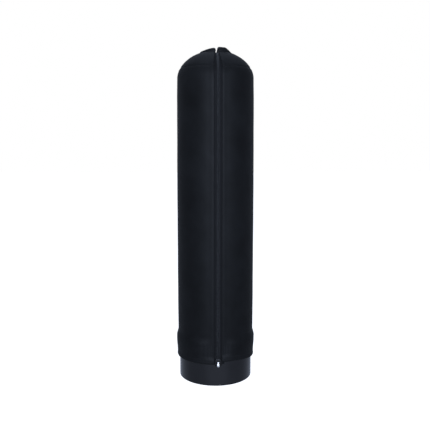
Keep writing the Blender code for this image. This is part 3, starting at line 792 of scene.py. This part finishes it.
def make_slider(finish):
    """The slider: a rounded shield over the coils and a plate under them, side flanges, and a bridge on two
    ears for the pull."""
    low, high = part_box("zip_slider")
    z0, z1, half = low.z, high.z, high.x
    right = [(half * 0.80, z0), (half, z0 + 0.0016), (half, z0 + 0.0036), (half * 0.84, z1 - 0.0012)]
    right.append((half * 0.62, z1))
    left = [(-x, z) for x, z in reversed(right)]
    shield = rounded(left[-1:] + right + left[:-1], 0.0009).tolist()

    def part(outline, near, far, bevel):
        return block("part", outline, near, far, finish, SLIDER_BODY, bevel)

    under = [(x * 0.82, z) for x, z in shield]
    parts = [part(shield, PLATE_IN, PLATE_OUT, 0.0003), part(under, 0.0484, 0.0488, 0.0001)]
    for side in (-1, 1):
        x0, x1 = sorted((side * 0.0031, side * 0.0038))
        parts.append(part(rectangle(x0, z0 + 0.0010, x1, z1 - 0.0014), 0.0507, PLATE_IN + 0.0003, 0.0001))
        x0, x1 = sorted((side * 0.0014, side * 0.0022))
        ear = rounded(rectangle(x0, PULL_Z - 0.0011, x1, PULL_Z + 0.0011), 0.0002).tolist()
        parts.append(part(ear, PLATE_OUT - 0.0003, PULL_AXIS + 0.0007, 0.0002))
    post = rectangle(-0.0003, z0 + 0.0006, 0.0003, z0 + 0.0024)
    parts.append(part(post, 0.0486, PLATE_IN + 0.0002, 0.0001))
    bar = crosswise([(-0.0018, 0.0004), (0.0018, 0.0004)], 16)
    parts.append(add_mesh("bar", bar, hoop_faces(bar.shape[:2]), finish, SLIDER_BODY))
    slider = fuse(parts, "slider_shell")
    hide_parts("zip_slider")


def make_pull(finish):
    """The pull: an eye on the slider's bar and a small domed tab that hangs below it."""
    low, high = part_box("zip_pull")
    half = 0.92 * (high.x - low.x) / 2
    eye_half = 0.0011
    steps = [(-eye_half, 0.00065), (-eye_half, 0.0010), (-eye_half + 0.0001, 0.0011)]
    steps += [(-x, radius) for x, radius in reversed(steps)]
    loops = crosswise(steps, 28)
    eye = add_mesh("eye", loops, hoop_faces(loops.shape[:2], joined=True), finish, PULL_BODY)

    top, bottom = PULL_Z - 0.0008, low.z + 0.0010
    rows = np.linspace(0, 1, 22)[:, None]
    cross = np.linspace(0, math.tau, 33)[None, :-1]
    z = top + (bottom - top) * (1 - np.cos(rows * math.pi)) / 2
    neck = smooth_step((z - (top - 0.0016)) / 0.0014)
    end = np.sqrt(np.maximum(1 - (np.clip((bottom + 0.0016 - z) / 0.0016, 0, 1)) ** 2, 0.0008))
    width = half * (1 - 0.42 * neck) * end
    shape = 2 / 3.2
    x = width * np.sign(np.cos(cross)) * np.abs(np.cos(cross)) ** shape
    domed = np.sin(math.pi * np.clip((z - bottom) / (top - bottom), 0, 1)) ** 0.7
    dome = (0.0004 + 0.00045 * domed) * end
    y = -PULL_AXIS - dome * np.sign(np.sin(cross)) * np.abs(np.sin(cross)) ** 0.8
    points = np.stack([x, y, np.broadcast_to(z, x.shape)], axis=-1)
    tab = add_mesh("tab", points, hoop_faces(points.shape[:2]), finish, PULL_BODY)
    pull = fuse([tab, eye], "pull_tab")
    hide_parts("zip_pull")


def make_crown_stop(finish):
    """A small clip pinched on both tapes where the coils end on the crown."""
    low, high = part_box("zip_crown_stop")
    line, normal, _ = zip_line(400, ZIP_LOW, -(low.y + high.y) / 2)
    turns = np.linspace(0, math.tau, 25)[:-1, None]
    centre, out = line[-1] + 0.0008 * normal[-1], normal[-1]
    loop = 0.0009 * (out * np.sin(turns) + np.cross(out, [1.0, 0.0, 0.0]) * np.cos(turns))
    steps = [(-0.0024, 0.55), (-0.0023, 0.9), (-0.0020, 1.0)]
    steps += [(-x, size) for x, size in reversed(steps)]
    loops = np.array([centre + [x, 0, 0] + size * loop for x, size in steps])
    stop = add_mesh("zip_end_clip", loops, hoop_faces(loops.shape[:2]), finish)
    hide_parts("zip_crown_stop")


# ------------------------ the ring, basket and foam

def make_ring(finish):
    mouth, neck, neck_wall, groove = 0.0446, 0.0432, 0.0018, 0.0018
    top, neck_top = 0.040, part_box("base_ring")[1].z
    section = [
        (RING_R, 0.0), (RING_R, top), (neck, top), (neck, neck_top), (neck - neck_wall, neck_top),
        (neck - neck_wall, top), (mouth, top - 0.005), (mouth, 0.0103), (mouth + groove, 0.0103),
        (mouth + groove, 0.0057), (mouth, 0.0057), (mouth, 0.0),
    ]
    ring = lathe("ring_body", rounded(section, 0.0009, 5), finish)
    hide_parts("base_ring")


def make_gasket(finish):
    low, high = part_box("mouth_gasket")
    outer, lip = 0.0461, 0.0434
    section = [(outer, low.z), (outer, high.z), (lip, high.z - 0.001), (lip, low.z + 0.001)]
    gasket = lathe("gasket_lip", rounded(section, 0.0007), finish)
    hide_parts("mouth_gasket")


def make_hoops(finish):
    for name in ("hoop_lower", "hoop_middle", "hoop_upper"):
        low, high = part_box(name)
        section = rectangle(high.x, low.z, high.x - 0.0018, high.z)
        hoop = lathe(f"{name}_ring", rounded(section, 0.0006), finish, 128)
        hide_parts(name)
    low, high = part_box("shoulder_ring")
    neck, flange = 0.0435, high.z - 0.0022
    section = [(neck, low.z), (neck, flange), (high.x, flange), (high.x, high.z), (neck - 0.0018, high.z),
               (neck - 0.0018, low.z)]
    shoulder = lathe("shoulder_moulding", rounded(section, 0.0005), finish, 160)
    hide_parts("shoulder_ring")
    low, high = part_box("nose_hub")
    section = [(0.0002, low.z + 0.0009), (0.0100, low.z), (0.0160, low.z), (0.0160, high.z), (0.0002, high.z)]
    hub = lathe("nose_disc", rounded(section, 0.0006), finish, 96)
    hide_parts("nose_hub")


def lattice(name, outer, inner, is_open, finish, sides=6):
    """A lattice shell from rows of (radius, height). is_open(level, column) leaves a cell out. Each of the 32
    columns of cells has several sides, so that the shell is round."""
    columns = 32 * sides
    angles = np.arange(columns) * math.tau / columns
    rows = len(outer)
    points = [polar(line[:, :1], angles, line[:, 1:]) for line in (outer, inner)]
    front = np.arange(rows * columns).reshape(rows, columns)
    back = front + front.size
    kept = np.array([[not is_open(i, j // sides) for j in range(columns)] for i in range(rows - 1)])
    faces = []
    for i, j in zip(*np.nonzero(kept)):
        after, before = (j + 1) % columns, (j - 1) % columns
        corners = (i, i, i + 1, i + 1), (j, after, after, j)
        a, b, c, d = front[corners]
        e, f, g, h = back[corners]
        faces += [[a, b, c, d], [h, g, f, e]]
        if i == 0 or not kept[i - 1, j]:
            faces.append([b, a, e, f])
        if i == rows - 2 or not kept[i + 1, j]:
            faces.append([d, c, g, h])
        if not kept[i, after]:
            faces.append([c, b, f, g])
        if not kept[i, before]:
            faces.append([a, d, h, e])
    shell = add_mesh(name, np.stack(points), faces, finish, sharp=30)
    soften(shell, 0.0003)
    return shell


def make_basket(finish):
    low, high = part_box("basket_tube")
    radius, wall, windows, first, band = high.x, 0.0015, 8, 0.0640, 0.0060
    pitch = (high.z - 0.007 - first) / windows
    heights = [low.z]
    for i in range(windows):
        heights += [first + pitch * i, first + pitch * (i + 1) - band]
    heights = np.array(heights + [high.z])
    outer = np.stack([np.full(len(heights), radius), heights], axis=-1)
    tube = lattice("basket_lattice", outer, outer - [wall, 0], lambda i, j: i % 2 == 1 and j % 2 == 0, finish)
    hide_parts("basket_tube")

    low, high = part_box("dome_cage")
    tall = 0.0310
    shares = (0.0, 0.05, 0.10, 0.20, 0.30, 0.40, 0.50, 0.60, 0.70, 0.80, 0.90)
    outline = dome_outline(np.array(shares) * math.pi / 2)
    outer = outline * [radius, tall] + [0, low.z]
    inner = outline * [radius - wall, tall - wall] + [0, low.z]

    def is_open(level, column):
        return column % 2 == 0 and (0.10 <= shares[level] < 0.40 or 0.50 <= shares[level] < 0.80)

    dome = lattice("dome_lattice", outer, inner, is_open, finish)
    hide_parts("dome_cage")


def foam_dents(angle, height, radius):
    """The foam's hand-cut unevenness, and the flat left for the zip down its front."""
    signed = from_zip(angle)
    channel = 0.0015 * smooth_step((math.radians(11) - np.abs(signed)) / math.radians(3))
    outside = smooth_step((radius - 0.0475) / 0.001)
    uneven = 0.00012 * np.sin(7 * angle + 55 * height) * np.sin(130 * height + 2 * angle)
    return channel * outside + uneven


def make_foam(finish):
    low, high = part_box("foam_liner")
    inner, outer, narrow = 0.0460, 0.0490, 0.0482
    up = np.linspace(low.z + 0.0006, 0.368, 60)
    outside = [(outer - 0.0006, low.z)] + [(outer, z) for z in up] + [(narrow, high.z - 0.0006)]
    outside += [(narrow - 0.0006, high.z)]
    down = np.linspace(high.z - 0.0006, low.z + 0.0006, 60)
    inside = [(inner + 0.0005, high.z)] + [(inner, z) for z in down] + [(inner + 0.0005, low.z)]
    liner = lathe("foam_tube", outside + inside, finish, 144, foam_dents)
    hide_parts("foam_liner")

    low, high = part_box("foam_cap")
    outline = dome_outline(np.radians(np.linspace(0, 67, 16)))
    over = outline * [0.0478, 0.0338] + [0, low.z]
    under = outline * [0.0463, 0.0322] + [0, low.z]
    cap = lathe("foam_dome", rounded(np.concatenate([over, under[::-1]]), 0.0004, 2), finish, 144)
    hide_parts("foam_cap")


def make_elastic(finish):
    """The flat elastic inside the hem."""
    angles = np.linspace(math.radians(13.5), math.tau - math.radians(13.5), 150)
    signed = from_zip(angles)[None, :]
    down = stations(HEM_FOLD + 0.0048, HEM_FOLD + 0.0012, 0.0006, 0.00022, 0.00022)[:, None]
    middle = polar(0.04990, signed, down + hem_rise(signed))
    band, _, _ = cloth("hem_elastic_band", middle, 0.00045, finish)
    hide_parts("hem_elastic")
    return band


def dress_frame_nodes(finishes):
    """Frame nodes that keep their own shape get a finish and softened edges."""
    for name, finish, bevel in finishes:
        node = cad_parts[name]
        for holder in node.material_slots:
            holder.material = finish
        soften(node, bevel, degrees=40)


# ------------------------ floor, light and camera

def make_floor():
    """A pale floor that shows a faint contact shadow, and is clear from below."""
    bpy.ops.mesh.primitive_plane_add(size=12, location=(0, 0, -0.0002))
    floor = bpy.context.object
    floor.name = "floor"
    material = bpy.data.materials.new("pale_floor")
    material.use_nodes = True
    tree = material.node_tree
    tree.nodes.clear()
    glow = add_node(tree, "Emission", (1, 1, 1, 1), 0.82)
    matt = add_node(tree, "BsdfDiffuse", (0.85, 0.85, 0.85, 1))
    both = add_node(tree, "AddShader", glow, matt)
    from_below = add_node(tree, "NewGeometry").outputs["Backfacing"]
    clear = add_node(tree, "BsdfTransparent")
    add_node(tree, "OutputMaterial", add_node(tree, "MixShader", from_below, both, clear))
    floor.data.materials.append(material)
    floor.visible_glossy = floor.visible_diffuse = floor.visible_shadow = False


COOL = (0.88, 1.0, 1.26)    # the daylight tint of the room and the lamps
# The room's brightness at places from in front of the object, 0, to behind it, 1.
ROOM = ((0.0, 0.38), (0.05, 0.34), (0.13, 0.24), (0.36, 0.20), (0.52, 0.21), (0.70, 0.28), (1.0, 0.44))


def make_world():
    """White behind everything in view. The pieces are lit by a dimmer room, brightest behind the object."""
    world = bpy.data.worlds.new("studio")
    bpy.context.scene.world = world
    world.use_nodes = True
    tree = world.node_tree
    tree.nodes.clear()

    def math_node(operation, *values):
        return add_node(tree, "Math", *values, operation=operation)

    way = add_node(tree, "SeparateXYZ", add_node(tree, "TexCoord").outputs["Generated"])
    x, y, _ = way.outputs
    flat = math_node("SQRT", math_node("ADD", math_node("MULTIPLY", x, x), math_node("MULTIPLY", y, y)))
    backness = math_node("DIVIDE", y, math_node("MAXIMUM", flat, 0.001))
    ramp = add_node(tree, "ValToRGB", math_node("MULTIPLY_ADD", backness, 0.5, 0.5))
    elements = ramp.color_ramp.elements
    for place, level in ROOM[1:-1]:
        elements.new(place)
    for (place, level), element in zip(ROOM, elements):
        element.position, element.color = place, (*(level * tint for tint in COOL), 1)
    in_view = add_node(tree, "LightPath").outputs["Is Camera Ray"]
    room, white = add_node(tree, "Background", ramp, 1.0), add_node(tree, "Background", (1, 1, 1, 1))
    add_node(tree, "OutputWorld", add_node(tree, "MixShader", in_view, room, white))


def softbox(name, place, aim, size, power):
    light = bpy.data.lights.new(name, "AREA")
    light.shape, light.size, light.size_y = "RECTANGLE", *size
    light.energy, light.color = power, COOL
    lamp = bpy.data.objects.new(name, light)
    lamp.location = place
    lamp.rotation_euler = (Vector(aim) - Vector(place)).to_track_quat("-Z", "Y").to_euler()
    bpy.context.scene.collection.objects.link(lamp)


def make_lights():
    softbox("key", (-0.03, -1.50, 0.50), (0, 0, 0.30), (0.50, 0.45), 22)
    softbox("top", (-0.10, 0.05, 1.30), (0, 0, 0.40), (0.8, 0.6), 1.2)


def make_camera():
    data = bpy.data.cameras.new("camera")
    data.sensor_width, data.lens = 36, 50.2
    camera = bpy.data.objects.new("camera", data)
    bpy.context.scene.collection.objects.link(camera)
    turned, distance, height = math.radians(-3.9), 0.7945, 0.311
    camera.location = (distance * math.sin(turned), -distance * math.cos(turned), height)
    camera.rotation_euler = (math.radians(90 - 6.7), 0, turned + math.radians(0.04))
    bpy.context.scene.camera = camera


# ------------------------ everything together

def build():
    make_camera()
    make_world()
    make_lights()
    make_floor()
    view = bpy.context.scene.view_settings
    view.view_transform, view.look = "Standard", "None"

    tube_fabric = stretch_fabric("cover_jersey", "around")
    # The crown and its pads get a copy of the jersey painted 15 % lighter: painted light from the top lamp on
    # the crown.
    crown_fabric_painted_lighter = stretch_fabric("crown_jersey_painted_lighter", "over", 1.15)
    moulded, rubber, nylon, thread, lacquer, nickel, steel = plain_finishes()
    gloss, foam, webbing = gloss_plastic(), open_foam(), zip_webbing()

    cover, cover_stitches = make_cover(tube_fabric, thread)
    tapes = [make_tape(side, webbing) for side in (-1, 1)]
    elastic = make_elastic(elastic_band())
    for side in (-1, 1):
        crown, stitches = make_crown(side, crown_fabric_painted_lighter, thread)
        make_pad(side, crown_fabric_painted_lighter, thread)
        make_coil(side, nylon, thread)
    make_crown_stop(lacquer)
    make_slider(lacquer)
    make_pull(nickel)
    make_ring(gloss)
    make_gasket(rubber)
    make_hoops(moulded)
    make_basket(moulded)
    make_foam(foam)
    kept = [("base_collar", moulded, 0.0003)]
    kept += [(f"zip_hem_stop_{word}", lacquer, 0.0002) for word in SIDE_WORD.values()]
    kept += [(f"collar_screw_{number}", steel, 0.0001) for number in range(1, 5)]
    dress_frame_nodes(kept)


build()
